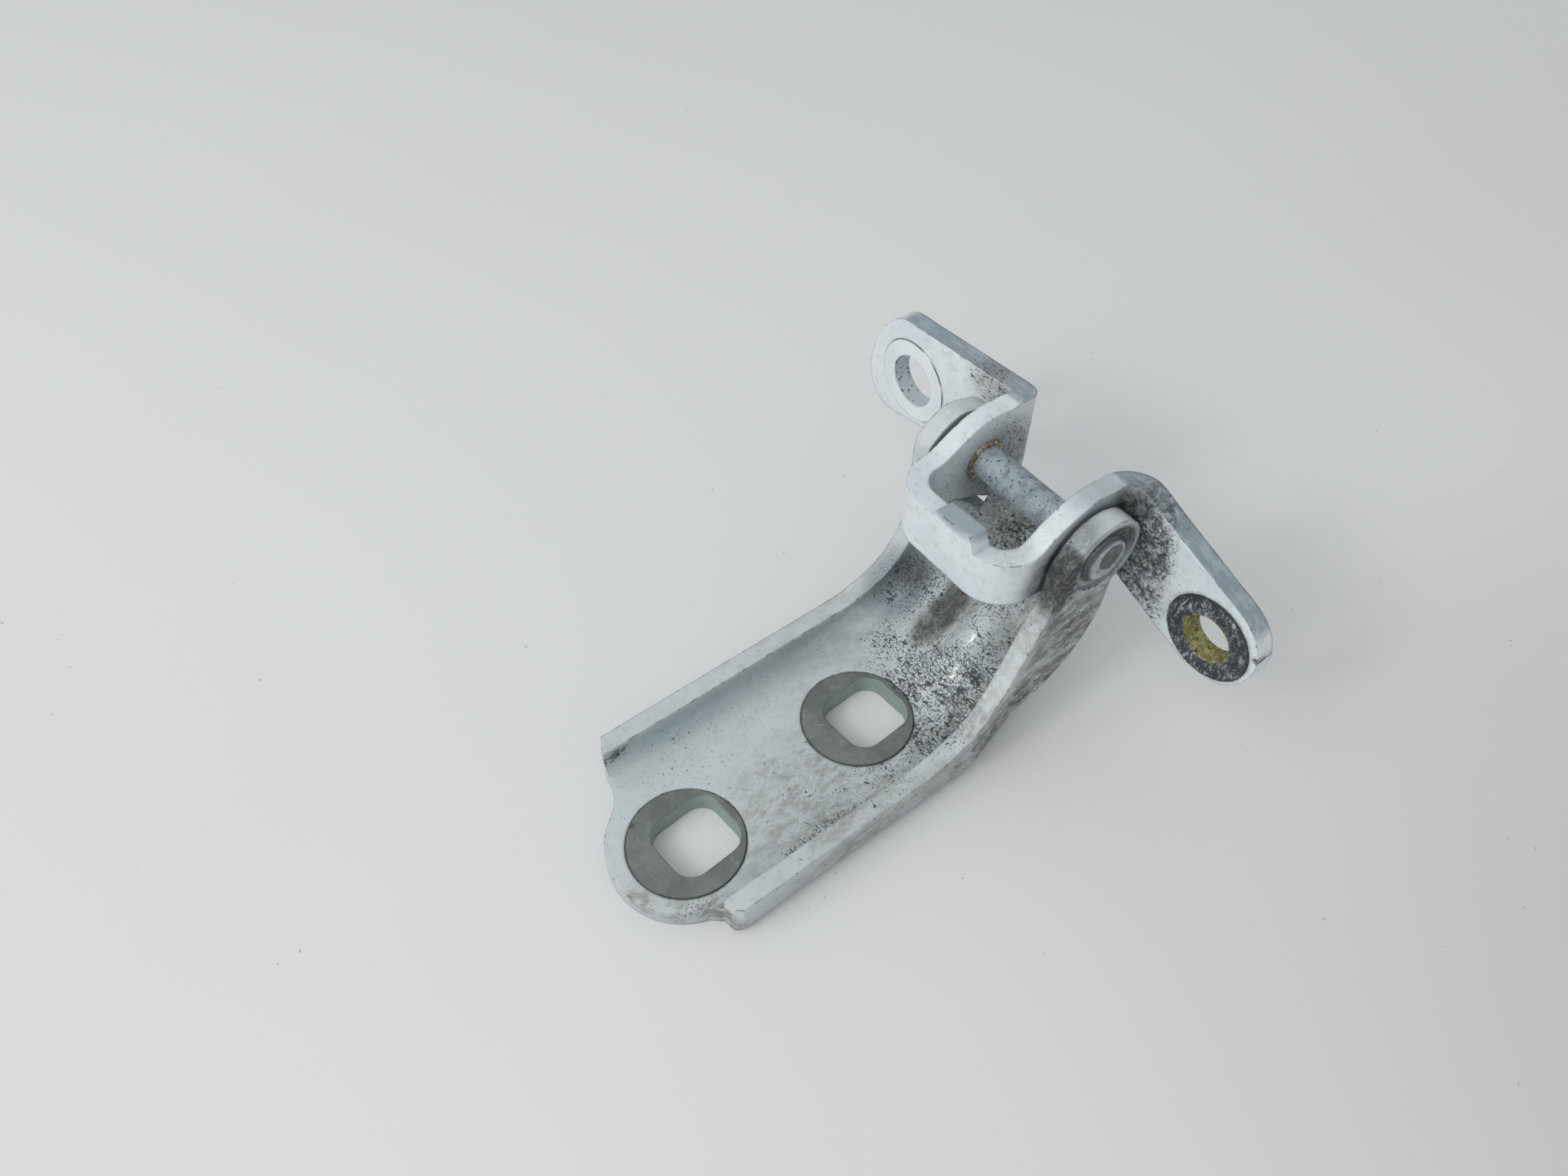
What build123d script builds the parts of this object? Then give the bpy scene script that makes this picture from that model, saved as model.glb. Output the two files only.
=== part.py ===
from build123d import *
import math
import os

os.makedirs("parts", exist_ok=True)

# Car door hinge, millimetres, +Z up from the pillar face of the body bracket.
# The origin is the front bolt place on that face. X runs along the channel to
# the pivot, and the pivot pin lies along Y.

# Sheet and pivot
sheet = 4.7
pin_x = 95.2
pin_y = 6.4
pin_z = 48.0
pin_radius = 4.0
running_gap = 0.05

# Door bracket strip, measured from the middle of the pin
leg_outer_half = 17.9
leg_inner_half = leg_outer_half - sheet
web_face = -24.6
web_back = web_face + sheet
flange_face = 10.5
flange_back = flange_face + sheet
web_bottom = -8.0
web_top_left = 5.4
web_top_right = 4.0
tab_top_left = 7.2
tab_top_right = 7.9
tab_low_y = -7.8
tab_high_y = 2.5
tab_slope_left = 0.9
tab_slope_right = 1.6
tab_middle = (tab_low_y + tab_high_y) / 2
corner_outer = 9.8
corner_inner = 5.1
fold_outer = 3.0
fold_inner = 0.8
bend_outer = 8.4
bend_inner = 2.6
bend_start = 6.0
leg_high = 11.6
leg_low = -13.6

# Rings pressed into the two flanges
left_ring_y = 49.7
left_ring_z = -7.1
left_ring_radius = 10.9
left_hole_radius = 6.7
right_ring_y = -45.7
right_ring_z = -11.6
right_ring_radius = 10.3
right_hole_radius = 5.4
ring_proud = 0.25
ring_fit = 0.04
ring_edge = 0.3

# Ears of the body bracket
ear_gap = 1.1
ear_inner_half = leg_outer_half + ear_gap
ear_outer_half = ear_inner_half + sheet
ear_radius = 9.8
ear_start = 81.0
recess_rim = 1.6
recess_radius = ear_radius - recess_rim
recess_depth = 0.9

# Channel of the body bracket
wall_skew = 1.6
left_wall_y = 29.6
right_wall_y = -22.0
left_wall_height = 11.2
right_wall_height = 9.6
wall_thickness = 4.5
straight_end = 60.0
lip_radius = 16.8
lip_shift = 0.8
left_foot_radius = 4.5
right_foot_radius = 3.0
outer_bend = 2.6
clear_height = pin_z + 2 * ear_radius

# Bolt washers in the channel floor
washer_radius = 13.0
washer_thickness = 5.0
washer_fit = 0.05
washer_edge = 0.35
rear_bolt_x = 49.0
rear_bolt_y = 3.7
square_x = 1.277 * washer_radius
square_y = 1.215 * washer_radius
square_corner = 0.354 * washer_radius
square_shift = 0.192 * washer_radius
square_turn = 5.0

# Bushes and pin heads
bush_wall = 1.0
bush_flange_radius = 7.2
bush_flange = 0.7
bush_collar = 0.6
bush_fit = 0.02
head_radius = 5.3
right_head_proud = 0.6
left_head_proud = 1.3
head_edge = 0.5
pin_fit = 0.01

# Extra length that carries a cut clear of the metal
spare = 2.0

skew = math.tan(math.radians(wall_skew))
left_ear_y = pin_y + ear_outer_half
right_ear_y = pin_y - ear_outer_half
bore_radius = pin_radius + running_gap
bush_radius = bore_radius + bush_wall


def wall_at(start, x):
    return start + skew * x


def around_pin(radius, degrees):
    angle = math.radians(degrees)
    return (pin_x + radius * math.cos(angle), pin_z + radius * math.sin(angle))


def round_tangent(degrees):
    angle = math.radians(degrees)
    return (-math.sin(angle), math.cos(angle), 0)


# Body bracket, outline seen from above
plan_rear = 112.0
lip_left = (-11.4, 13.4)
lip_tip = (-lip_radius, lip_shift)
lip_right = (-4.6, -15.6)
left_notch = (-7.4, 17.4)
left_front = (-4.8, 25.6)
left_corner = (-2.8, wall_at(left_wall_y, -2.8))
right_notch = (-2.2, -17.6)
right_front = (-1.6, -20.6)
right_corner = (0, right_wall_y)
left_jog = (straight_end, wall_at(left_wall_y, straight_end))
right_jog = (straight_end, wall_at(right_wall_y, straight_end))

with BuildPart() as envelope:
    with BuildSketch(Plane.XY):
        with BuildLine():
            ThreePointArc(lip_left, lip_tip, lip_right)
            Polyline(lip_right, right_notch, right_front, right_corner, right_jog)
            Spline(right_jog, (ear_start, right_ear_y), tangents=((1, skew, 0), (1, 0, 0)))
            Line((ear_start, right_ear_y), (plan_rear, right_ear_y))
            Line((plan_rear, right_ear_y), (plan_rear, left_ear_y))
            Line((plan_rear, left_ear_y), (ear_start, left_ear_y))
            Spline((ear_start, left_ear_y), left_jog, tangents=((-1, 0, 0), (-1, -skew, 0)))
            Polyline(left_jog, left_corner, left_front)
            Spline(left_front, left_notch, lip_left)
        make_face()
    extrude(amount=clear_height)

# Side views of the two walls with their ears
front_end = -30.0
side_reach = 60.0
middle_inset = 1.4
middle_left = left_ear_y - sheet - middle_inset
middle_right = right_ear_y + sheet + middle_inset
rear_line = [(straight_end, 0), (67, 2.4), (77, 6.4), (85.6, 11.2), (91.6, 17.2), (95.6, 25), (98.2, 32.5)]
right_rear = [(straight_end, 0), (67, 2.2), (77, 5.6), (86.6, 9.8), (93.6, 15.4), (98.2, 22.6), (100.8, 30.8)]
neck_angle = -58
right_neck_angle = -44
left_top_angle = 76
right_top_angle = 90
neck = around_pin(ear_radius, neck_angle)
right_neck = around_pin(ear_radius, right_neck_angle)
ear_back = around_pin(ear_radius, 0)
left_ear_top = around_pin(ear_radius, left_top_angle)
left_ear_front = around_pin(12.6, 150)
right_ear_top = around_pin(ear_radius, right_top_angle)
right_ear_front = around_pin(11.8, 178)
left_rise = [(82.9, 44), (82.4, 30), (78.6, 22), (73, 16), (66, 12.2), (56, left_wall_height)]
right_rise = [(82.6, 42), (78.4, 31.5), (72.4, 22), (63.4, 15), (55, 11.1), (44, right_wall_height)]

with BuildPart() as sides:
    with BuildSketch(Plane.XZ.offset(-middle_left)):
        with BuildLine():
            Line((front_end, 0), rear_line[0])
            Spline(*rear_line, neck, tangents=((1, 0, 0), (0.4, 1, 0)))
            ThreePointArc(neck, ear_back, left_ear_top)
            Spline(
                left_ear_top,
                around_pin(11.4, 112),
                left_ear_front,
                left_rise[0],
                tangents=(round_tangent(left_top_angle), (-0.05, -1, 0)),
            )
            Spline(*left_rise, tangents=((-0.05, -1, 0), (-1, 0, 0)))
            Polyline(left_rise[-1], (front_end, left_wall_height), (front_end, 0))
        make_face()
    extrude(amount=-side_reach)
    with BuildSketch(Plane.XZ.offset(-middle_right)):
        with BuildLine():
            Line((front_end, 0), rear_line[0])
            Spline(*rear_line, neck, tangents=((1, 0, 0), (0.4, 1, 0)))
            Polyline(neck, (neck[0], clear_height), (front_end, clear_height), (front_end, 0))
        make_face()
    extrude(amount=middle_right - middle_left)
    with BuildSketch(Plane.XZ.offset(-middle_right)):
        with BuildLine():
            Line((front_end, 0), right_rear[0])
            Spline(*right_rear, right_neck, tangents=((1, 0, 0), (0.4, 1, 0)))
            ThreePointArc(right_neck, ear_back, right_ear_top)
            Spline(
                right_ear_top,
                around_pin(10.4, 140),
                right_ear_front,
                right_rise[0],
                tangents=(round_tangent(right_top_angle), (-0.2, -1, 0)),
            )
            Spline(*right_rise, tangents=((-0.2, -1, 0), (-1, 0, 0)))
            Polyline(right_rise[-1], (front_end, right_wall_height), (front_end, 0))
        make_face()
    extrude(amount=side_reach)

# Upper surface of the ramp, and the two pressed bumps that lift it
ramp_top = 36.8
ramp_line = [
    (straight_end, sheet),
    (66, 5.9),
    (74, 9.6),
    (82, 15.2),
    (88, 21.5),
    (93, 28.5),
    (97.4, ramp_top),
    (100.4, 45),
]
ramp_notch = 32.4
tongue_half = 12.2
notch_middle = (ear_inner_half + tongue_half) / 2
trim_start = 92.0
trim_length = plan_rear - trim_start
trim_middle = (plan_rear + trim_start) / 2
right_bump_y = -0.5
right_bump_width = 7.0
right_bump_lift = [0, 0.9, 5.0, 6.2, 3.8, 1.2, 0, 0]
left_bump_y = 17.0
left_bump_width = 4.6
left_bump_lift = [0, 0, 0.5, 2.4, 2.2, 0.7, 0, 0]
section_places = [-32, -25, -18, -11, -5, 0, 5, 10, 15, 20, 26, 33, 40]


def lifts_at(y):
    right_share = math.exp(-(((y - right_bump_y) / right_bump_width) ** 2))
    left_share = math.exp(-(((y - left_bump_y) / left_bump_width) ** 2))
    return [right_share * a + left_share * b for a, b in zip(right_bump_lift, left_bump_lift)]


# Everything above the floor, between the walls and the ears
space_front = front_end - 10
space_rear = plan_rear + 18
space_top = clear_height + 20
inner_front = space_front + 1
inner_rear = space_rear - 1
with BuildPart() as pocket:
    for y in section_places:
        surface = [(x, z + lift) for (x, z), lift in zip(ramp_line, lifts_at(y))]
        with BuildSketch(Plane((0, y, 0), x_dir=(1, 0, 0), z_dir=(0, -1, 0))):
            with BuildLine():
                Line((space_front, sheet), surface[0])
                Spline(*surface, tangents=((1, 0, 0), (0.3, 1, 0)))
                Polyline(
                    surface[-1],
                    (space_rear, surface[-1][1]),
                    (space_rear, space_top),
                    (space_front, space_top),
                    (space_front, sheet),
                )
            make_face()
    loft()
    right_inner = (straight_end, right_jog[1] + wall_thickness)
    left_inner = (straight_end, left_jog[1] - wall_thickness)
    right_far = (inner_front, wall_at(right_wall_y + wall_thickness, inner_front))
    left_far = (inner_front, wall_at(left_wall_y - wall_thickness, inner_front))
    with BuildSketch(Plane.XY):
        with BuildLine():
            Line(right_far, right_inner)
            Spline(right_inner, (ear_start, right_ear_y + sheet), tangents=((1, skew, 0), (1, 0, 0)))
            Polyline(
                (ear_start, right_ear_y + sheet),
                (inner_rear, right_ear_y + sheet),
                (inner_rear, left_ear_y - sheet),
                (ear_start, left_ear_y - sheet),
            )
            Spline((ear_start, left_ear_y - sheet), left_inner, tangents=((-1, 0, 0), (-1, -skew, 0)))
            Polyline(left_inner, left_far, right_far)
        make_face()
    extrude(amount=space_top, mode=Mode.INTERSECT)


def feet_of(shape, side):
    return [
        edge
        for edge in shape.edges()
        if edge.center().Z < ramp_top
        and side * (edge.center().Y - pin_y) > ear_inner_half - 0.8
        and edge.length > 4 * sheet
    ]


pocket_space = pocket.part.fillet(left_foot_radius, feet_of(pocket.part, 1))
pocket_space = pocket_space.fillet(right_foot_radius, feet_of(pocket_space, -1))

# Hollows under the ramp bumps, between the two walls
hollow_step = 0.4
hollow_floor = -30.0
hollow_half = ear_inner_half - 2
with BuildPart() as hollow:
    for y in section_places:
        under = [(x, z - hollow_step + lift) for (x, z), lift in zip(rear_line, lifts_at(y))]
        with BuildSketch(Plane((0, y, 0), x_dir=(1, 0, 0), z_dir=(0, -1, 0))):
            with BuildLine():
                Spline(*under, tangents=((1, 0, 0), (0.4, 1, 0)))
                Polyline(
                    under[-1],
                    (space_rear, under[-1][1]),
                    (space_rear, hollow_floor),
                    (under[0][0], hollow_floor),
                    under[0],
                )
            make_face()
    loft()
    with BuildSketch(Plane.XY.offset(hollow_floor + 1)):
        with Locations(((straight_end + space_rear) / 2, pin_y)):
            Rectangle(space_rear - straight_end, 2 * hollow_half)
    extrude(amount=space_top, mode=Mode.INTERSECT)

with BuildPart() as body_bracket:
    add(envelope.part)
    add(sides.part, mode=Mode.INTERSECT)
    # the long lower edges of both walls, from the front up to the necks of the ears
    lower = [
        edge
        for edge in body_bracket.edges()
        if edge.center().Z < ramp_top
        and edge.center().X > sheet
        and abs(edge.center().Y - pin_y) > ear_inner_half + 1
        and (edge.bounding_box().max.Z < 1 or edge.bounding_box().size.X > 2)
        and edge.center().Z < 0.62 * (edge.center().X - rear_bolt_x)
        and not (edge.bounding_box().min.Z > 8 and edge.center().X < ear_start + 3)
    ]
    fillet(lower, radius=outer_bend)
    add(pocket_space, mode=Mode.SUBTRACT)
    with BuildSketch(Plane.XY.offset(ramp_top)):
        with Locations((trim_middle, pin_y)):
            Rectangle(trim_length, 2 * ear_inner_half)
    extrude(amount=clear_height, mode=Mode.SUBTRACT)
    with BuildSketch(Plane.XY.offset(ramp_notch)):
        with Locations((trim_middle, pin_y - notch_middle), (trim_middle, pin_y + notch_middle)):
            Rectangle(trim_length, ear_inner_half - tongue_half)
    extrude(amount=clear_height, mode=Mode.SUBTRACT)
    add(hollow.part, mode=Mode.SUBTRACT)
    with BuildSketch(Plane.XY):
        with Locations((0, 0), (rear_bolt_x, rear_bolt_y)):
            Circle(washer_radius + washer_fit)
    extrude(amount=sheet + spare, mode=Mode.SUBTRACT)
    with BuildSketch(Plane.XZ.offset(-left_ear_y - spare)):
        with Locations((pin_x, pin_z)):
            Circle(pin_radius + pin_fit)
    extrude(amount=2 * (ear_outer_half + spare), mode=Mode.SUBTRACT)
    with BuildSketch(Plane.XZ.offset(-right_ear_y - recess_depth)):
        with Locations((pin_x, pin_z)):
            Circle(recess_radius)
    extrude(amount=recess_depth + spare, mode=Mode.SUBTRACT)
body_bracket.part.label = "body_bracket"
export_step(body_bracket.part, "parts/body_bracket.step")

# Bolt washers, each with a rounded square hole set off its middle
for name, place in {"front_washer": (0, 0), "rear_washer": (rear_bolt_x, rear_bolt_y)}.items():
    with BuildPart() as washer:
        with BuildSketch(Plane.XY):
            with Locations(place):
                Circle(washer_radius)
            with Locations(Location((place[0] + square_shift, place[1], 0), (0, 0, square_turn))):
                RectangleRounded(square_x, square_y, square_corner, mode=Mode.SUBTRACT)
        extrude(amount=washer_thickness)
        fillet(washer.edges().group_by(Axis.Z)[-1], radius=washer_edge)
    washer.part.label = name
    export_step(washer.part, f"parts/{name}.step")

# Hinge pin with a flat head formed at each end
with BuildPart() as hinge_pin:
    with BuildSketch(Plane.XZ.offset(-left_ear_y)):
        with Locations((pin_x, pin_z)):
            Circle(pin_radius)
    extrude(amount=2 * ear_outer_half - recess_depth)
    with BuildSketch(Plane.XZ.offset(-left_ear_y - left_head_proud)):
        with Locations((pin_x, pin_z)):
            Circle(head_radius)
    extrude(amount=left_head_proud)
    with BuildSketch(Plane.XZ.offset(-right_ear_y - recess_depth)):
        with Locations((pin_x, pin_z)):
            Circle(head_radius)
    extrude(amount=recess_depth + right_head_proud)
    ends = hinge_pin.faces().sort_by(Axis.Y)
    fillet(ends[0].edges() + ends[-1].edges(), radius=head_edge)
hinge_pin.part.label = "hinge_pin"
export_step(hinge_pin.part, "parts/hinge_pin.step")

# Bushes in the two legs, each with its flange on the ear side
for name, side in {"left_bush": 1, "right_bush": -1}.items():
    with BuildPart() as bush:
        with BuildSketch(Plane.XZ.offset(-pin_y - side * (leg_inner_half - bush_collar))):
            with Locations((pin_x, pin_z)):
                Circle(bush_radius)
                Circle(bore_radius, mode=Mode.SUBTRACT)
        extrude(amount=-side * (sheet + bush_collar))
        with BuildSketch(Plane.XZ.offset(-pin_y - side * leg_outer_half)):
            with Locations((pin_x, pin_z)):
                Circle(bush_flange_radius)
                Circle(bore_radius, mode=Mode.SUBTRACT)
        extrude(amount=-side * bush_flange)
    bush.part.label = name
    export_step(bush.part, f"parts/{name}.step")


def from_pin(x, y):
    return (pin_x + x, pin_y + y)


def side_points(points):
    return [(pin_x + x, pin_z + z) for x, z in points]


def front_points(points):
    return [(pin_y + y, pin_z + z) for y, z in points]


# Door bracket, first the bent strip seen from above
strip_right = -70.0
strip_left = 76.0
corner_sizes = {
    (flange_face, leg_outer_half): fold_inner,
    (web_face, leg_outer_half): corner_outer,
    (web_face, -leg_outer_half): corner_outer,
    (flange_face, -leg_outer_half): bend_inner,
    (flange_back, -leg_inner_half): bend_outer,
    (web_back, -leg_inner_half): corner_inner,
    (web_back, leg_inner_half): corner_inner,
    (flange_back, leg_inner_half): fold_outer,
}
with BuildPart() as strip:
    with BuildSketch(Plane.XY) as strip_plan:
        with BuildLine():
            Polyline(
                from_pin(flange_face, strip_left),
                from_pin(flange_face, leg_outer_half),
                from_pin(web_face, leg_outer_half),
                from_pin(web_face, -leg_outer_half),
                from_pin(flange_face, -leg_outer_half),
                from_pin(flange_face, strip_right),
                from_pin(flange_back, strip_right),
                from_pin(flange_back, -leg_inner_half),
                from_pin(web_back, -leg_inner_half),
                from_pin(web_back, leg_inner_half),
                from_pin(flange_back, leg_inner_half),
                from_pin(flange_back, strip_left),
                close=True,
            )
        make_face()
        for corner, size in corner_sizes.items():
            place = from_pin(*corner)
            bend = [v for v in strip_plan.vertices() if math.dist((v.X, v.Y), place) < 0.01]
            fillet(bend, radius=size)
    extrude(amount=clear_height)

# Outline of web and legs seen from the side, and of the two flanges seen from the front
leg_under = [(-9.5, web_bottom), (-5.4, -9.2), (-1, -10.8), (bend_start, leg_low)]
leg_over = [(bend_start, leg_high), (2, leg_high + 0.2), (-4.5, 10.4), (-12, 6.2)]
leg_over_end = -18.5
leg_root = 10.0
right_root = 19.2
left_lobe = [
    (49.5, 8.9),
    (55.4, 8.1),
    (60.4, 3.9),
    (63.4, -0.8),
    (65.5, -8),
    (65.6, -14.5),
    (63.2, -19.1),
    (59, -21.1),
    (53.2, -20.5),
    (45, -18.8),
]
right_shoulder = [(-17, leg_high), (-22.4, 11.2), (-26.9, 9.4), (-35.3, 6.1)]
right_end = [
    (-45, 2.4),
    (-52, -0.4),
    (-56, -4.4),
    (-57.5, -10),
    (-55.4, -17.4),
    (-50, -21.8),
    (-44, -22.2),
    (-38.4, -20.9),
]
side_limit = leg_outer_half + spare
flange_reach = flange_back - bend_start + spare
halves = {
    web_top_left: (side_limit, tab_middle),
    web_top_right: (tab_middle, -side_limit),
}
with BuildPart() as outline:
    for top, (start, end) in halves.items():
        with BuildSketch(Plane.XZ.offset(-pin_y - start)):
            with BuildLine():
                under = side_points(leg_under)
                over = side_points([*leg_over, (leg_over_end, top)])
                front_low, front_high = side_points([(web_face - spare, web_bottom), (web_face - spare, top)])
                Line(front_low, under[0])
                Spline(*under, tangents=((1, 0, 0), (1, 0, 0)))
                Line(under[-1], over[0])
                Spline(*over, tangents=((-1, 0, 0), (-1, 0, 0)))
                Polyline(over[-1], front_high, front_low)
            make_face()
        extrude(amount=start - end)
    with BuildSketch(Plane.YZ.offset(pin_x + bend_start)):
        with BuildLine():
            Spline(*front_points(left_lobe), tangents=((1, -0.08, 0), (-1, 0.19, 0)))
            Polyline(
                *front_points(
                    [
                        left_lobe[-1],
                        (leg_outer_half, leg_low),
                        (leg_root, leg_low),
                        (leg_root, leg_high),
                        (leg_outer_half, leg_high),
                        left_lobe[0],
                    ]
                )
            )
        make_face()
    extrude(amount=flange_reach)
    with BuildSketch(Plane.YZ.offset(pin_x + bend_start)):
        with BuildLine():
            Spline(*front_points(right_shoulder), tangents=((-1, 0, 0), (-1, -0.39, 0)))
            Line(*front_points([right_shoulder[-1], right_end[0]]))
            Spline(*front_points(right_end), tangents=((-1, -0.39, 0), (1, 0.38, 0)))
            Polyline(
                *front_points(
                    [
                        right_end[-1],
                        (-right_root, leg_low),
                        (-leg_root, leg_low),
                        (-leg_root, leg_high),
                        right_shoulder[0],
                    ]
                )
            )
        make_face()
    extrude(amount=flange_reach)
    with BuildSketch(Plane.YZ.offset(pin_x + web_face - spare)):
        with BuildLine():
            tab_corners = [
                (tab_low_y - tab_slope_right, web_top_right),
                (tab_low_y - tab_slope_right, web_top_right - 1),
                (tab_high_y + tab_slope_left, web_top_right - 1),
                (tab_high_y + tab_slope_left, web_top_left),
                (tab_high_y, tab_top_left),
                (tab_low_y, tab_top_right),
            ]
            Polyline(*front_points(tab_corners), close=True)
        make_face()
    extrude(amount=sheet + 2 * spare)

with BuildPart() as door_bracket:
    add(strip.part)
    add(outline.part, mode=Mode.INTERSECT)
    with BuildSketch(Plane.XZ.offset(-pin_y - side_limit)):
        with Locations((pin_x, pin_z)):
            Circle(bush_radius + bush_fit)
    extrude(amount=2 * side_limit, mode=Mode.SUBTRACT)
    with BuildSketch(Plane.YZ.offset(pin_x + flange_face - spare)):
        with Locations((pin_y + left_ring_y, pin_z + left_ring_z)):
            Circle(left_ring_radius + ring_fit)
        with Locations((pin_y + right_ring_y, pin_z + right_ring_z)):
            Circle(right_ring_radius + ring_fit)
    extrude(amount=sheet + 2 * spare, mode=Mode.SUBTRACT)

# The bent strip is one real piece. It is parted on the flat of each leg, just behind
# the bush, into a front and two flanges, so that each solid is a simple form.
seam = Plane.YZ.offset(pin_x + bend_start)
flanges = split(door_bracket.part, bisect_by=seam, keep=Keep.TOP).solids().sort_by(Axis.Y)
strip_pieces = {
    "door_bracket": split(door_bracket.part, bisect_by=seam, keep=Keep.BOTTOM).solids()[0],
    "right_flange": flanges[0],
    "left_flange": flanges[-1],
}
for name, piece in strip_pieces.items():
    piece.label = name
    export_step(piece, f"parts/{name}.step")

# Rings in the flanges, proud of the front face
rings = {
    "left_flange_ring": (left_ring_y, left_ring_z, left_ring_radius, left_hole_radius),
    "right_flange_ring": (right_ring_y, right_ring_z, right_ring_radius, right_hole_radius),
}
for name, (ring_y, ring_z, ring_radius, hole_radius) in rings.items():
    with BuildPart() as ring:
        with BuildSketch(Plane.YZ.offset(pin_x + flange_face - ring_proud)):
            with Locations((pin_y + ring_y, pin_z + ring_z)):
                Circle(ring_radius)
                Circle(hole_radius, mode=Mode.SUBTRACT)
        extrude(amount=sheet + ring_proud)
        fillet(ring.edges().group_by(Axis.X)[0], radius=ring_proud)
        chamfer(ring.edges().group_by(Axis.X)[-1].sort_by(SortBy.RADIUS)[0], length=ring_edge)
    ring.part.label = name
    export_step(ring.part, f"parts/{name}.step")
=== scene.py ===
import math

import bpy
from mathutils import Matrix, Vector

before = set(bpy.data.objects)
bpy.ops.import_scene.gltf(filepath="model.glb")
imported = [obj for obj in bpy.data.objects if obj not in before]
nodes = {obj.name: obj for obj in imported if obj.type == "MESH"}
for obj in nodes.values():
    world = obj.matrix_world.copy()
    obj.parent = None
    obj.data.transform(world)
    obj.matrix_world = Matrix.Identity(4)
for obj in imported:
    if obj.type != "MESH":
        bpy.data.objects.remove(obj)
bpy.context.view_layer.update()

# Landmarks on the hinge, in metres, in the same frame as the solids
PIN = Vector((0.0952, 0.0064, 0.0480))
DIMPLE_OFFSET = Vector((0.0008, 0, 0.0006))
LEFT_HEAD_Y = 0.0300
RIGHT_HEAD_Y = -0.0168
FRONT_WASHER = Vector((0.0, 0.0, 0.005))
REAR_WASHER = Vector((0.049, 0.0037, 0.005))
WASHER_RADIUS = 0.0130
LEFT_RING = Vector((0.1057, 0.0561, 0.0409))
LEFT_RING_RADIUS = 0.0109
LEFT_HOLE_RADIUS = 0.0068
RIGHT_RING = Vector((0.1057, -0.0393, 0.0364))
RIGHT_RING_RADIUS = 0.0102
RIGHT_HOLE_RADIUS = 0.0056
# The plane across the legs where the solids part the bent strip into three nodes
SEAM_X = 0.1012
# Where the flanges start, past the fold, and where the painted shade on their cut edges is at full
# strength
FLANGE_X = (0.1030, 0.1046)
# Edges that turn by more than this many degrees stay sharp
SHARP_ANGLE = 32
# Rays a pixel for corners and rounded edges
SAMPLES = 6

# Camera fitted to the photograph: metres, then yaw, pitch and roll in degrees
CAMERA_PLACE = (-0.05431, -0.10937, 0.22879)
CAMERA_ANGLES = (36.10, 49.52, 0.18)
FOCAL_PIXELS = 1533.8
PHOTO_WIDTH = 2048

WHITE = (0.745, 0.79, 0.815)
COOL = (0.65, 0.715, 0.75)
# grey mixed into the paint: a dust film, and painted shade that keeps the body bracket darker than the
# door bracket
GRIME_AND_SHADE = (0.42, 0.46, 0.45)
MOTTLE = (0.34, 0.38, 0.38)
CORNER_SHADE = (0.22, 0.27, 0.30)
CHIP = (0.045, 0.048, 0.05)
SOOT = (0.022, 0.024, 0.025)
DUST = (0.20, 0.185, 0.155)
SMEAR = (0.052, 0.055, 0.053)
BLUE_SHADE = (0.20, 0.25, 0.29)


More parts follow.
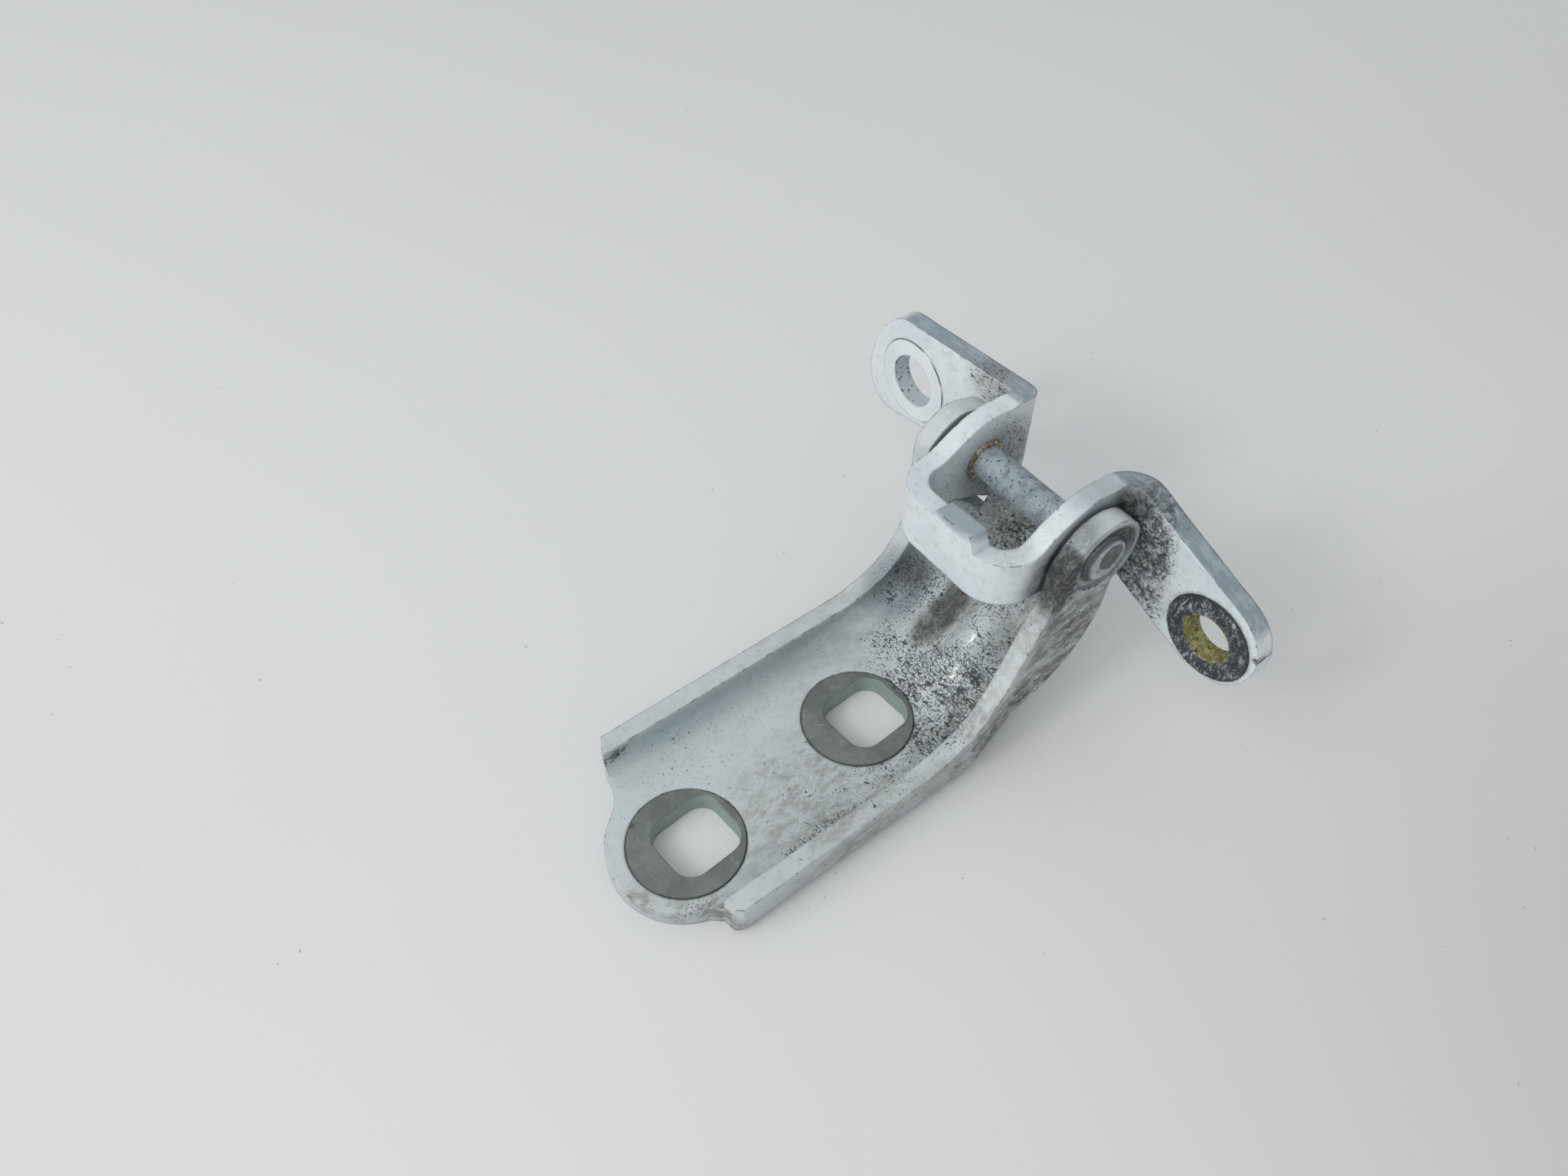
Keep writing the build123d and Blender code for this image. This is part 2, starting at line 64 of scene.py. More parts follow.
class Finish:
    """A procedural material, built from small named steps."""

    def __init__(self, name):
        self.material = bpy.data.materials.new(name)
        self.material.use_nodes = True
        self.tree = self.material.node_tree
        self.tree.nodes.clear()
        output = self.tree.nodes.new("ShaderNodeOutputMaterial")
        self.surface = self.tree.nodes.new("ShaderNodeBsdfPrincipled")
        self.link(self.surface.outputs[0], output.inputs[0])
        coords = self.tree.nodes.new("ShaderNodeTexCoord")
        self.place = coords.outputs["Object"]

    def link(self, source, target):
        self.tree.links.new(source, target)

    def feed(self, value, socket):
        """Links a socket, or sets a plain value."""
        if isinstance(value, bpy.types.NodeSocket):
            self.link(value, socket)
        else:
            socket.default_value = value

    def feed_colour(self, value, socket):
        self.feed(value if isinstance(value, bpy.types.NodeSocket) else (*value, 1), socket)

    def calc(self, kind, a, b=0.0):
        node = self.tree.nodes.new("ShaderNodeMath")
        node.operation = kind
        for value, socket in zip((a, b), node.inputs):
            self.feed(value, socket)
        return node.outputs[0]

    def times(self, *values):
        result = values[0]
        for value in values[1:]:
            result = self.calc("MULTIPLY", result, value)
        return result

    def most(self, *values):
        result = values[0]
        for value in values[1:]:
            result = self.calc("MAXIMUM", result, value)
        return result

    def step(self, value, low, high, bottom=0.0, top=1.0):
        """Goes smoothly from bottom to top as the value goes from low to high."""
        node = self.tree.nodes.new("ShaderNodeMapRange")
        node.interpolation_type = "SMOOTHSTEP"
        for given, socket in zip((value, low, high, bottom, top), node.inputs):
            self.feed(given, socket)
        return node.outputs[0]

    def vector(self, kind, a, b=(0, 0, 0)):
        node = self.tree.nodes.new("ShaderNodeVectorMath")
        node.operation = kind
        self.feed(a, node.inputs[0])
        self.feed(b, node.inputs[1])
        return node.outputs["Value" if kind in ("DOT_PRODUCT", "LENGTH") else "Vector"]

    def noise(self, scale, detail=4.0, rough=0.6, shift=(0, 0, 0), stretch=(1, 1, 1), swirl=0.0):
        mapping = self.tree.nodes.new("ShaderNodeMapping")
        mapping.inputs["Location"].default_value = shift
        mapping.inputs["Scale"].default_value = stretch
        self.link(self.place, mapping.inputs["Vector"])
        node = self.tree.nodes.new("ShaderNodeTexNoise")
        node.inputs["Scale"].default_value = scale
        node.inputs["Detail"].default_value = detail
        node.inputs["Roughness"].default_value = rough
        node.inputs["Distortion"].default_value = swirl
        self.link(mapping.outputs[0], node.inputs["Vector"])
        return node.outputs[0]

    def distance(self, point, squeeze=(1, 1, 1)):
        """Distance from a point, with each axis multiplied by squeeze."""
        offset = self.vector("SUBTRACT", self.place, tuple(point))
        return self.vector("LENGTH", self.vector("MULTIPLY", offset, squeeze))

    def near(self, point, inner, outer, squeeze=(1, 1, 1)):
        """1 within inner of a point, 0 beyond outer."""
        return self.step(self.distance(point, squeeze), inner, outer, 1.0, 0.0)

    def gap(self, a, b):
        """How far apart two values are."""
        return self.calc("ABSOLUTE", self.calc("SUBTRACT", a, b))

    def axis(self, name):
        node = self.tree.nodes.new("ShaderNodeSeparateXYZ")
        self.link(self.place, node.inputs[0])
        return node.outputs["XYZ".index(name)]

    def blend(self, amount, under, over):
        node = self.tree.nodes.new("ShaderNodeMix")
        node.data_type = "RGBA"
        self.feed(amount, node.inputs["Factor"])
        first, second = [socket for socket in node.inputs if socket.type == "RGBA"]
        self.feed_colour(under, first)
        self.feed_colour(over, second)
        return [socket for socket in node.outputs if socket.type == "RGBA"][0]

    def crevice(self, reach):
        """0 in the open, towards 1 in a corner or a narrow gap."""
        node = self.tree.nodes.new("ShaderNodeAmbientOcclusion")
        node.samples = SAMPLES
        node.inputs["Distance"].default_value = reach
        return self.calc("SUBTRACT", 1.0, node.outputs["AO"])

    def normal(self):
        return self.tree.nodes.new("ShaderNodeNewGeometry").outputs["Normal"]

    def rounded_normal(self, radius):
        """The normal that sharp edges would have if they were rounded."""
        bevel = self.tree.nodes.new("ShaderNodeBevel")
        bevel.samples = SAMPLES
        bevel.inputs["Radius"].default_value = radius
        return bevel.outputs[0]

    def off_seam(self, place):
        """0 on the plane where the bent strip is parted, 1 a little away from it."""
        return self.step(self.gap(self.axis("X"), place), 0.0011, 0.0015)

    def edge_wear(self, radius):
        """Rises from 0 on flats to 1 on a rounded edge."""
        turn = self.vector("DOT_PRODUCT", self.rounded_normal(radius), self.normal())
        return self.step(turn, 0.995, 0.85, 0.0, 1.0)

    def facing(self, direction):
        return self.vector("DOT_PRODUCT", self.normal(), direction)

    def finish(
        self, colour, roughness, metal=0.0, coat=0.0, relief=None, depth=0.0002, round_edge=0.0, seam=None
    ):
        self.feed_colour(colour, self.surface.inputs["Base Color"])
        self.feed(roughness, self.surface.inputs["Roughness"])
        self.feed(metal, self.surface.inputs["Metallic"])
        self.feed(coat, self.surface.inputs["Coat Weight"])
        self.surface.inputs["Coat Roughness"].default_value = 0.12
        normal = None
        if round_edge:
            normal = self.rounded_normal(round_edge)
            if seam is not None:
                mix = self.tree.nodes.new("ShaderNodeMix")
                mix.data_type = "VECTOR"
                self.link(self.off_seam(seam), mix.inputs["Factor"])
                first, second = [
                    socket for socket in mix.inputs if socket.type == "VECTOR" and socket.name in "AB"
                ]
                self.link(self.normal(), first)
                self.link(normal, second)
                normal = [socket for socket in mix.outputs if socket.type == "VECTOR"][0]
        if relief is not None:
            bump = self.tree.nodes.new("ShaderNodeBump")
            bump.inputs["Distance"].default_value = depth
            bump.inputs["Strength"].default_value = 1.0
            self.link(relief, bump.inputs["Height"])
            if normal is not None:
                self.link(normal, bump.inputs["Normal"])
            normal = bump.outputs[0]
        if normal is not None:
            self.link(normal, self.surface.inputs["Normal"])
        return self.material


def dress(material, *names):
    for name in names:
        nodes[name].data.materials.clear()
        nodes[name].data.materials.append(material)


def paint(name, grime_and_shade, spots, dust, soot, smear, shade, gloss, seam=None):
    """White enamel, marked where the regions say.

    Each region is a point, the radius where it is full, the radius where it ends, how much each axis
    is squeezed, and its strength.
    """
    f = Finish(name)

    def area(regions):
        return f.most(*[f.times(f.near(*region[:4]), region[4]) for region in regions])

    tone = f.blend(f.step(f.noise(45, 4, 0.55), 0.35, 0.7), WHITE, COOL)
    # a dust film, and painted shade that darkens the body bracket's paint against the door bracket's
    tone = f.blend(grime_and_shade, tone, GRIME_AND_SHADE)
    mottle = f.step(f.noise(420, 6, 0.75, (0.6, 0.6, 0.1)), 0.48, 0.70)
    tone = f.blend(f.times(mottle, 0.40), tone, MOTTLE)
    # painted shade: the paint is darker in corners and narrow gaps
    tone = f.blend(f.times(f.crevice(0.010), 0.8), tone, CORNER_SHADE)
    tint = area(shade)
    if seam is not None:
        # painted shade: the cut edges of the two flanges, which face upwards, are darker than their faces,
        # in streaks
        upward = f.step(f.facing((0.0, -0.24, 0.97)), 0.72, 0.92)
        edge_shade_streaks = f.step(f.noise(300, 5, 0.7, (0.2, 0.3, 0.5), (1.6, 0.5, 1)), 0.36, 0.62, 0.68, 0.98)
        tint = f.most(tint, f.times(upward, f.step(f.axis("X"), *FLANGE_X), edge_shade_streaks))
    tone = f.blend(f.calc("MINIMUM", tint, 0.9), tone, BLUE_SHADE)
    cloud = f.step(f.noise(330, 7, 0.78, (0.3, 0.1, 0.7), (0.5, 1, 0.9), 0.3), 0.40, 0.60)
    film = f.times(area(dust), f.calc("ADD", f.times(cloud, 0.85), 0.15))
    tone = f.blend(f.calc("MINIMUM", film, 0.85), tone, DUST)
    smudge = f.step(f.noise(800, 7, 0.8, (0.1, 0.6, 0.5), (0.45, 1, 0.6), 0.6), 0.34, 0.56, 0.55, 1.0)
    dark = f.times(area(smear), smudge)
    tone = f.blend(f.calc("MINIMUM", dark, 0.95), tone, SMEAR)
    puffs = f.step(f.noise(560, 7, 0.78, (0.9, 0.2, 0.4), (0.6, 1, 1), 0.4), 0.40, 0.60)
    smoke = f.times(area(soot), puffs)
    tone = f.blend(f.calc("MINIMUM", smoke, 0.88), tone, SOOT)

    # specks of three sizes, sparse all over and dense in the marked regions
    patches = f.step(f.noise(150, 4, 0.6, (0.8, 0.3, 0.6)), 0.30, 0.66, 0.62, 1.0)
    local = f.times(area(spots), patches)

    def specks(scale, detail, shift, stretch, swirl, start, drop, ramp):
        low = f.calc("SUBTRACT", start, f.times(local, drop))
        high = f.calc("ADD", low, ramp)
        return f.step(f.noise(scale, detail, 0.6, shift, stretch, swirl), low, high)

    stipple = specks(2300, 2.0, (0.4, 0.1, 0.8), (1, 0.7, 1), 0.5, 0.74, 0.275, 0.05)
    flecks = specks(1150, 2.5, (0.15, 0.5, 0.2), (1, 0.55, 1), 0.9, 0.75, 0.205, 0.03)
    pits = specks(520, 3, (0.5, 0.2, 0.9), (1, 0.6, 1), 1.2, 0.78, 0.190, 0.03)
    marks = f.most(f.times(stipple, 0.70), flecks, pits)
    tone = f.blend(f.times(marks, 0.92), tone, SOOT)

    # chips along worn edges
    wear = f.edge_wear(0.0007)
    if seam is not None:
        wear = f.times(wear, f.off_seam(seam))
    chips = f.times(wear, f.step(f.noise(430, 4, 0.65, (0.2, 0.8, 0.1)), 0.558, 0.596))
    tone = f.blend(f.times(chips, 0.85), tone, CHIP)

    dirt = f.most(film, smoke, marks, dark)
    shine = f.times(area(gloss), f.calc("SUBTRACT", 1.0, marks))
    rough = f.calc("SUBTRACT", f.step(dirt, 0.0, 0.7, 0.40, 0.70), f.times(shine, 0.30))
    coat = f.calc("ADD", f.step(dirt, 0.0, 0.5, 0.12, 0.0), f.times(shine, 0.88))
    relief = f.calc("SUBTRACT", f.times(f.noise(260, 3, 0.5), 0.22), f.times(f.most(marks, chips), 0.30))
    return f.finish(tone, rough, coat=coat, relief=relief, depth=0.00016, round_edge=0.0010, seam=seam)


body_paint = paint(
    "body_paint",
    grime_and_shade=0.50,
    spots=[
        ((0.066, -0.004, 0.006), 0.010, 0.022, (1, 1, 1), 1.12),
        ((0.062, -0.011, 0.005), 0.004, 0.018, (0.8, 1, 1), 0.9),
        ((0.077, -0.009, 0.014), 0.006, 0.016, (1, 1, 1), 0.75),
        ((0.068, 0.013, 0.007), 0.004, 0.015, (1, 1, 1), 0.85),
        ((0.079, 0.020, 0.015), 0.005, 0.016, (1, 1, 1), 0.8),
        ((0.085, 0.000, 0.020), 0.004, 0.014, (1, 1, 1), 0.75),
        ((0.040, -0.013, 0.005), 0.004, 0.016, (0.6, 1, 1), 0.62),
        ((0.026, -0.0165, 0.005), 0.002, 0.0065, (0.3, 1, 1), 0.95),
        ((-0.008, -0.0140, 0.005), 0.001, 0.0060, (0.5, 1, 1), 0.6),
        ((0.093, 0.006, 0.030), 0.010, 0.022, (1, 1, 1), 0.9),
        ((0.093, -0.0175, 0.034), 0.008, 0.024, (1, 1, 0.8), 0.62),
        ((0.020, -0.004, 0.005), 0.008, 0.040, (1, 1, 1), 0.32),
        ((0.012, 0.018, 0.005), 0.004, 0.030, (0.7, 1, 1), 0.34),
        ((0.035, 0.027, 0.011), 0.004, 0.050, (1, 1, 1), 0.25),
    ],
    dust=[
        ((0.078, 0.009, 0.016), 0.003, 0.011, (0.7, 1.2, 0.7), 0.9),
        ((0.030, -0.008, 0.005), 0.006, 0.024, (0.7, 1, 1), 0.60),
        ((0.016, -0.013, 0.005), 0.003, 0.012, (0.6, 1, 1), 0.45),
        ((0.056, -0.014, 0.005), 0.003, 0.012, (0.6, 1, 1), 0.45),
        ((0.028, -0.018, 0.005), 0.003, 0.008, (0.25, 1.2, 1), 0.75),
        ((0.089, -0.0175, 0.022), 0.006, 0.020, (1, 1, 0.8), 0.95),
        ((0.074, -0.0190, 0.010), 0.004, 0.014, (0.6, 1, 1), 0.95),
        ((0.055, -0.0205, 0.006), 0.002, 0.010, (0.5, 1, 1), 0.6),
        ((-0.002, -0.0175, 0.003), 0.002, 0.007, (1, 1, 1), 1.0),
        ((-0.0030, -0.0155, 0.0045), 0.001, 0.0050, (0.6, 1, 1), 0.9),
        ((-0.0100, -0.0125, 0.0045), 0.001, 0.0050, (0.8, 0.8, 1), 0.8),
        ((-0.0150, -0.0060, 0.0045), 0.001, 0.0045, (1, 0.6, 1), 0.7),
        ((0.095, 0.006, 0.034), 0.008, 0.020, (1, 1, 1), 0.7),
        ((0.084, -0.0165, 0.044), 0.002, 0.010, (1, 1, 0.7), 0.5),
        ((0.060, 0.027, 0.012), 0.004, 0.030, (0.6, 1, 1), 0.3),
        ((0.068, -0.018, 0.020), 0.004, 0.016, (1, 1, 1), 0.35),
    ],
    soot=[
        ((0.090, -0.0172, 0.026), 0.002, 0.011, (1, 1, 0.7), 0.55),
        ((0.080, -0.0175, 0.013), 0.002, 0.010, (0.5, 1, 1), 0.75),
        ((0.068, -0.0192, 0.008), 0.002, 0.008, (0.5, 1, 1), 0.60),
        ((-0.0030, 0.0252, 0.0090), 0.0010, 0.0034, (0.50, 1, 1.2), 1.0),
        ((0.0850, -0.0160, 0.047), 0.002, 0.0065, (1, 1, 0.6), 1.0),
        ((0.0865, -0.0172, 0.038), 0.002, 0.007, (1, 1, 0.7), 0.6),
        ((0.0952, -0.0172, 0.048), 0.0062, 0.0078, (1, 0.6, 1), 0.7),
        ((0.097, -0.0172, 0.038), 0.002, 0.006, (0.6, 1, 1), 0.5),
    ],
    smear=[
        ((0.0833, 0.0102, 0.0173), 0.0018, 0.0052, (1, 1, 1), 1.0),
        ((0.0960, -0.0172, 0.0488), 0.0070, 0.0083, (1, 0.5, 1), 0.85),
        ((0.0795, 0.0100, 0.0142), 0.0024, 0.0058, (1, 1, 1), 1.0),
        ((0.0755, 0.0110, 0.0110), 0.0016, 0.0060, (0.8, 1.2, 1), 0.95),
        ((0.0870, 0.0105, 0.0215), 0.0010, 0.0055, (1, 1, 1), 0.7),
        ((0.0810, 0.0225, 0.0165), 0.0010, 0.0070, (0.8, 1.1, 0.8), 0.75),
        ((0.0845, -0.0150, 0.0505), 0.0026, 0.0052, (1, 0.8, 0.6), 1.0),
        ((0.0830, -0.0155, 0.0435), 0.0020, 0.0048, (1, 0.8, 0.55), 0.9),
        ((0.0890, -0.0140, 0.0555), 0.0015, 0.0050, (0.6, 0.8, 1), 0.6),
        ((0.0835, -0.0170, 0.0350), 0.0010, 0.0040, (1, 0.8, 0.7), 0.6),
    ],
    shade=[
        ((0.0780, 0.0235, 0.0135), 0.0040, 0.0110, (0.7, 1, 0.8), 0.9),
        ((0.0260, 0.0245, 0.0066), 0.0010, 0.0052, (0.10, 1, 1), 0.45),
        ((0.0820, 0.0150, 0.0200), 0.0030, 0.0120, (1, 1, 1), 0.5),
        ((0.0820, -0.0040, 0.0160), 0.0030, 0.0120, (1, 1, 1), 0.25),
    ],
    gloss=[
        ((0.0718, -0.0030, 0.0115), 0.0010, 0.0028, (1, 1, 1), 1.0),
        ((0.0782, -0.0006, 0.0184), 0.0008, 0.0022, (1, 1, 1), 1.0),
        ((0.0820, 0.0155, 0.0170), 0.0008, 0.0026, (1, 1, 1), 1.0),
        ((0.0800, -0.0125, 0.0185), 0.0008, 0.0030, (1, 1, 0.6), 0.8),
        ((0.0820, 0.0270, 0.0330), 0.0020, 0.0100, (1, 1, 0.6), 0.5),
        ((0.0700, -0.0190, 0.0190), 0.0020, 0.0060, (1, 1, 0.6), 0.5),
    ],
)
door_paint = paint(
    "door_paint",
    grime_and_shade=0.05,
    spots=[
        ((0.1057, -0.0175, 0.046), 0.007, 0.0130, (1, 1, 0.75), 1.0),
        ((0.1057, -0.0210, 0.034), 0.003, 0.012, (1, 1, 0.7), 0.95),
        ((0.1057, 0.0310, 0.0560), 0.003, 0.009, (1, 0.8, 1.1), 0.85),
        ((0.100, 0.0200, 0.046), 0.006, 0.020, (1, 1, 1), 0.75),
        ((0.083, 0.0200, 0.042), 0.003, 0.014, (1, 1, 1), 0.5),
        ((0.087, -0.0075, 0.0550), 0.002, 0.008, (1, 1, 1), 0.4),
    ],
    dust=[
        ((0.1057, 0.0310, 0.0565), 0.002, 0.008, (1, 0.8, 1.1), 0.65),
        ((0.100, -0.0068, 0.050), 0.002, 0.014, (1, 1, 1), 0.5),
        ((0.1057, -0.024, 0.038), 0.002, 0.009, (1, 1, 0.7), 0.30),
        ((0.0775, -0.0060, 0.0520), 0.001, 0.006, (1, 1, 1), 0.45),
    ],
    soot=[
        ((0.1057, -0.0165, 0.047), 0.006, 0.0120, (1, 1, 0.65), 1.0),
        ((0.1057, -0.0190, 0.036), 0.004, 0.0090, (1, 1, 0.6), 1.0),
        ((0.1067, -0.0508, 0.0404), 0.0006, 0.0022, (0.35, 1, 1.6), 1.0),
        ((0.1057, -0.0393, 0.0364), 0.0100, 0.0118, (1, 1, 1), 0.45),
    ],
    smear=[
        ((0.0990, 0.0196, 0.0450), 0.0060, 0.0160, (1, 1, 1), 0.62),
        ((0.0900, -0.0118, 0.0465), 0.0040, 0.0100, (0.7, 1.2, 1.2), 0.85),
        ((0.0835, -0.0118, 0.0430), 0.0020, 0.0070, (0.9, 1.2, 1), 0.70),
        ((0.1040, -0.0150, 0.0560), 0.0015, 0.0060, (1, 0.8, 1), 0.85),
    ],
    shade=[
        ((0.0742, 0.0048, 0.0556), 0.0016, 0.0030, (0.5, 0.26, 1), 0.75),
        ((0.0985, -0.0090, 0.0600), 0.0030, 0.0110, (1, 1, 1), 0.50),
    ],
    gloss=[
        ((0.0850, -0.0090, 0.0555), 0.0020, 0.0060, (1, 1, 1), 0.5),
        ((0.0850, 0.0215, 0.0555), 0.0020, 0.0070, (1, 1, 1), 0.6),
    ],
    seam=SEAM_X,
)
dress(body_paint, "body_bracket")
dress(door_paint, "door_bracket", "left_flange", "right_flange")

# Zinc plated bolt washers
f = Finish("washer_zinc")
colour = f.blend(f.step(f.noise(140, 5, 0.65), 0.35, 0.68), (0.215, 0.240, 0.222), (0.145, 0.165, 0.155))
colour = f.blend(f.step(f.noise(520, 4, 0.7, (0.4, 0, 0.2)), 0.60, 0.70), colour, (0.29, 0.32, 0.30))
stain = f.step(f.noise(260, 4, 0.7, (0.1, 0.7, 0.3)), 0.62, 0.72)
colour = f.blend(f.times(stain, 0.7), colour, (0.05, 0.052, 0.048))
# painted highlight: the washers' side walls, which do not face up, are lighter than their tops
upright = f.step(f.facing((0, 0, 1)), 0.3, 0.7, 1.0, 0.0)
side_wall_highlight = f.times(upright, f.step(f.noise(300, 4, 0.6), 0.3, 0.7, 0.5, 0.9))
colour = f.blend(side_wall_highlight, colour, (0.34, 0.43, 0.40))
for centre in (FRONT_WASHER, REAR_WASHER):
    from_rim = f.gap(f.distance(centre, (1, 1, 0)), WASHER_RADIUS)
    rim = f.step(from_rim, 0.00010, 0.00045, 1.0, 0.0)
    colour = f.blend(f.times(rim, 0.85), colour, (0.035, 0.045, 0.045))
grain = f.noise(900, 3, 0.6, (0, 0, 0), (1, 0.12, 1))
zinc = f.finish(
    colour, f.step(f.noise(300, 4, 0.6), 0.3, 0.7, 0.42, 0.60),
    metal=0.35, relief=grain, depth=0.00004, round_edge=0.0003,
)
dress(zinc, "front_washer", "rear_washer")

# Hinge pin: its shank is bare steel, and its two heads carry overspray
f = Finish("pin_steel")
colour = f.blend(f.step(f.noise(230, 5, 0.7), 0.38, 0.66), (0.36, 0.41, 0.45), (0.20, 0.235, 0.265))
right_head = f.step(f.axis("Y"), RIGHT_HEAD_Y - 0.0004, RIGHT_HEAD_Y, 1.0, 0.0)
left_head = f.step(f.axis("Y"), LEFT_HEAD_Y, LEFT_HEAD_Y + 0.0004, 0.0, 1.0)
painted = f.most(right_head, left_head)
overspray = f.step(f.noise(500, 4, 0.7, (0.3, 0.3, 0)), 0.36, 0.56)
colour = f.blend(f.times(painted, overspray), colour, (0.50, 0.54, 0.55))
grit = f.step(f.noise(1400, 3, 0.6, (0.2, 0.4, 0.1)), 0.60, 0.64)
colour = f.blend(f.times(grit, 0.8), colour, SOOT)
from_axis = f.distance(PIN, (1, 0, 1))
from_dimple = f.distance(PIN + DIMPLE_OFFSET, (1, 0, 1))
dimple = f.times(f.step(from_dimple, 0.0030, 0.0037, 1.0, 0.0), painted)
dirt = f.step(f.noise(420, 5, 0.7, (0.9, 0.1, 0)), 0.30, 0.55, 0.45, 0.9)
colour = f.blend(f.times(dimple, dirt), colour, (0.085, 0.085, 0.078))
rim = f.times(f.step(from_axis, 0.0047, 0.0052), painted)
colour = f.blend(f.times(rim, 0.8), colour, (0.06, 0.062, 0.06))
pin_steel = f.finish(
    colour, f.step(f.noise(300, 3, 0.6), 0.3, 0.7, 0.50, 0.72),
    metal=f.calc("SUBTRACT", 0.15, f.times(painted, 0.15)),
    relief=f.noise(900, 4, 0.7), depth=0.00012, round_edge=0.0003,
)
dress(pin_steel, "hinge_pin")

# Bronze bushes, crusted at the rim
f = Finish("bush_bronze")
colour = f.blend(f.step(f.noise(700, 5, 0.7), 0.35, 0.62), (0.30, 0.235, 0.12), (0.13, 0.10, 0.06))
colour = f.blend(f.step(f.noise(900, 4, 0.7, (0.6, 0, 0)), 0.50, 0.60), colour, (0.62, 0.57, 0.44))
bronze = f.finish(colour, 0.62, metal=0.3, relief=f.noise(900, 5, 0.7), depth=0.0004)
dress(bronze, "left_bush", "right_bush")

# Left flange ring, painted over and finely cracked round its seat
f = Finish("ring_paint")
colour = f.blend(f.step(f.noise(60, 4, 0.55), 0.35, 0.7), WHITE, COOL)
from_hole = f.distance(LEFT_RING, (0, 1, 1))
bore_wall = f.step(from_hole, LEFT_HOLE_RADIUS, LEFT_HOLE_RADIUS + 0.0002, 1.0, 0.0)
colour = f.blend(f.times(bore_wall, 0.7), colour, (0.36, 0.42, 0.45))
colour = f.blend(f.times(f.step(f.noise(900, 3, 0.6), 0.60, 0.64), bore_wall), colour, SOOT)
rim = f.step(f.gap(from_hole, LEFT_RING_RADIUS), 0.0, 0.00022, 1.0, 0.0)
cracks = f.step(f.noise(120, 3, 0.6, (0.5, 0.1, 0)), 0.42, 0.56)
colour = f.blend(f.times(rim, cracks), colour, (0.06, 0.065, 0.065))
left_ring = f.finish(colour, 0.26, coat=0.5, relief=f.noise(260, 3, 0.5), depth=0.00008, round_edge=0.0004)
dress(left_ring, "left_flange_ring")

# Right flange ring, worn to dark steel, with primer left in its bore and ragged on its face
f = Finish("ring_steel")
worn = f.step(f.noise(900, 8, 0.85, (0.1, 0.3, 0.2), (1, 1, 0.40), 0.9), 0.49, 0.58)
colour = f.blend(worn, (0.022, 0.028, 0.040), (0.44, 0.48, 0.52))
from_hole = f.distance(RIGHT_RING, (0, 1, 1))
wander = f.times(f.calc("SUBTRACT", f.noise(420, 4, 0.7, (0.2, 0.9, 0)), 0.52), 0.007)
from_ragged = f.calc("SUBTRACT", from_hole, wander)
ragged = f.step(from_ragged, RIGHT_HOLE_RADIUS, RIGHT_HOLE_RADIUS + 0.0003, 1.0, 0.0)
bore_wall = f.most(f.step(from_hole, RIGHT_HOLE_RADIUS, RIGHT_HOLE_RADIUS + 0.0002, 1.0, 0.0), ragged)
fading = f.step(f.noise(330, 5, 0.7, (0.4, 0.4, 0)), 0.42, 0.60)
primer = f.blend(fading, (0.23, 0.215, 0.030), (0.40, 0.375, 0.16))
primer = f.blend(f.step(f.noise(800, 4, 0.7, (0.7, 0, 0.1)), 0.55, 0.62), primer, (0.05, 0.045, 0.02))
colour = f.blend(bore_wall, colour, primer)
rim = f.step(f.gap(from_hole, RIGHT_RING_RADIUS), 0.0, 0.0006, 1.0, 0.0)
colour = f.blend(f.times(rim, 0.8), colour, (0.03, 0.032, 0.035))
right_ring = f.finish(
    colour, f.step(worn, 0.0, 1.0, 0.45, 0.3), metal=0.1, relief=worn, depth=0.00012, round_edge=0.0004
)
dress(right_ring, "right_flange_ring")

for node in nodes.values():
    node.data.shade_smooth()
    node.data.set_sharp_from_angle(angle=math.radians(SHARP_ANGLE))

# White table with a few specks, and painted shade that makes it a little darker towards the front right
table_mesh = bpy.data.meshes.new("table")
reach = 1.6
table_mesh.from_pydata(
    [(-reach, -reach, 0), (reach, -reach, 0), (reach, reach, 0), (-reach, reach, 0)],
    [],
    [(0, 1, 2, 3)],
)
table = bpy.data.objects.new("table", table_mesh)
table.location = (0.05, 0, -0.00005)
bpy.context.scene.collection.objects.link(table)
f = Finish("table_white")
colour = f.blend(f.step(f.noise(3.0, 3, 0.5), 0.3, 0.7), (0.765, 0.765, 0.768), (0.748, 0.745, 0.741))
# painted shade: two broad darker patches, the stronger one towards the front right
colour = f.blend(f.times(f.near((0.13, -0.22, 0), 0.03, 0.24), 0.90), colour, (0.575, 0.560, 0.535))
colour = f.blend(f.times(f.near((0.36, 0.02, 0), 0.03, 0.22), 0.30), colour, (0.68, 0.665, 0.635))
specks = f.step(f.noise(420, 2, 0.5, (3.1, 1.7, 0)), 0.765, 0.79)
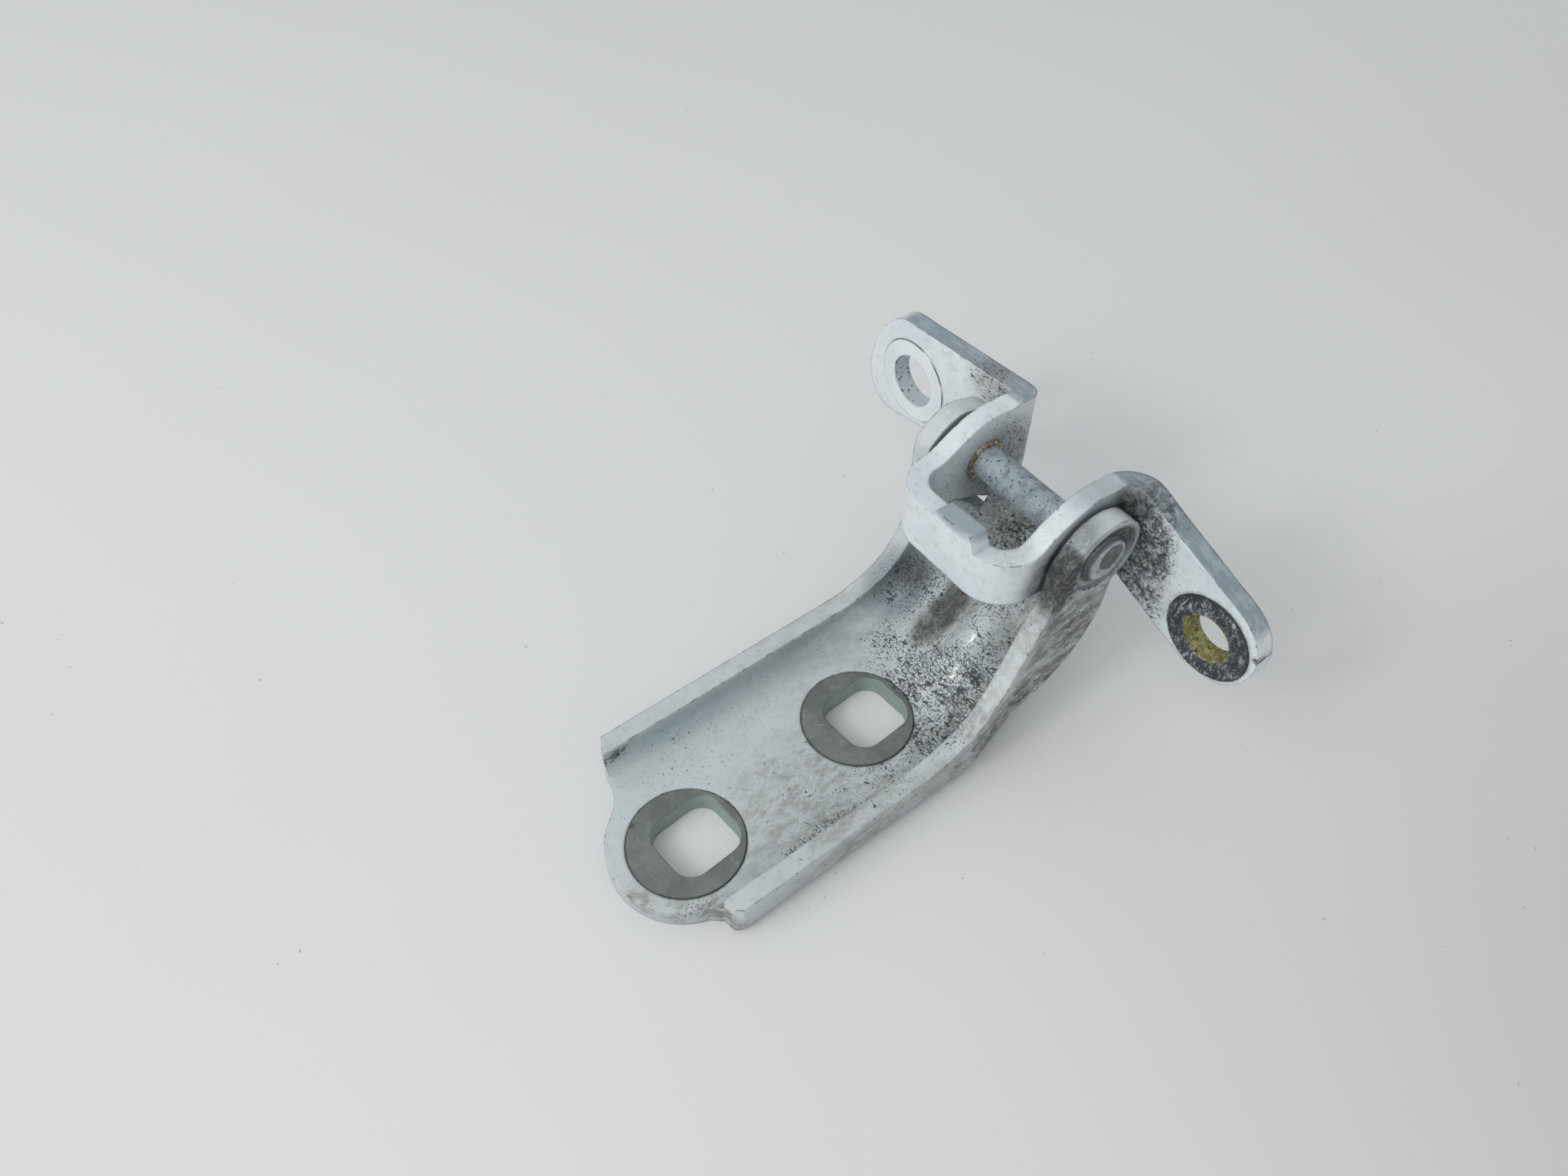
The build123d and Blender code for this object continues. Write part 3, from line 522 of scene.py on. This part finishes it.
colour = f.blend(f.times(specks, 0.45), colour, (0.12, 0.12, 0.12))
table_mesh.materials.append(f.finish(colour, 0.42, relief=f.noise(60, 4, 0.5), depth=0.00002))

# Soft light from the room, one broad window, and a bright pane in it for the glints
world = bpy.data.worlds.new("room")
bpy.context.scene.world = world
world.use_nodes = True
background = world.node_tree.nodes["Background"]
background.inputs["Color"].default_value = (0.94, 0.98, 1.0, 1)
background.inputs["Strength"].default_value = 0.60


def lamp(name, place, target, width, height, power, colour):
    data = bpy.data.lights.new(name, "AREA")
    data.shape = "RECTANGLE"
    data.size = width
    data.size_y = height
    data.energy = power
    data.color = colour
    thing = bpy.data.objects.new(name, data)
    bpy.context.scene.collection.objects.link(thing)
    thing.location = place
    aim = Vector(target) - Vector(place)
    thing.rotation_euler = aim.to_track_quat("-Z", "Y").to_euler()


lamp("window", (-0.92, -0.02, 0.88), (0.05, 0.02, 0.02), 1.3, 1.1, 6.3, (1.0, 0.99, 0.97))
lamp("pane", (-0.97, 0.03, 0.82), (0.08, 0.00, 0.02), 0.20, 0.28, 2.5, (1.0, 1.0, 1.0))

# Camera, placed where the photograph was taken
yaw, pitch, roll = (math.radians(angle) for angle in CAMERA_ANGLES)
ahead = Vector((math.sin(yaw) * math.cos(pitch), math.cos(yaw) * math.cos(pitch), -math.sin(pitch)))
level = Vector((math.cos(yaw), -math.sin(yaw), 0))
upward = level.cross(ahead)
right = math.cos(roll) * level + math.sin(roll) * upward
above = -math.sin(roll) * level + math.cos(roll) * upward
camera_data = bpy.data.cameras.new("camera")
camera_data.sensor_width = 36
camera_data.lens = camera_data.sensor_width * FOCAL_PIXELS / PHOTO_WIDTH
camera_data.clip_start = 0.01
camera = bpy.data.objects.new("camera", camera_data)
bpy.context.scene.collection.objects.link(camera)
turn = Matrix((right, above, -ahead)).transposed().to_4x4()
camera.matrix_world = Matrix.Translation(CAMERA_PLACE) @ turn
bpy.context.scene.camera = camera
bpy.context.scene.view_settings.view_transform = "Standard"
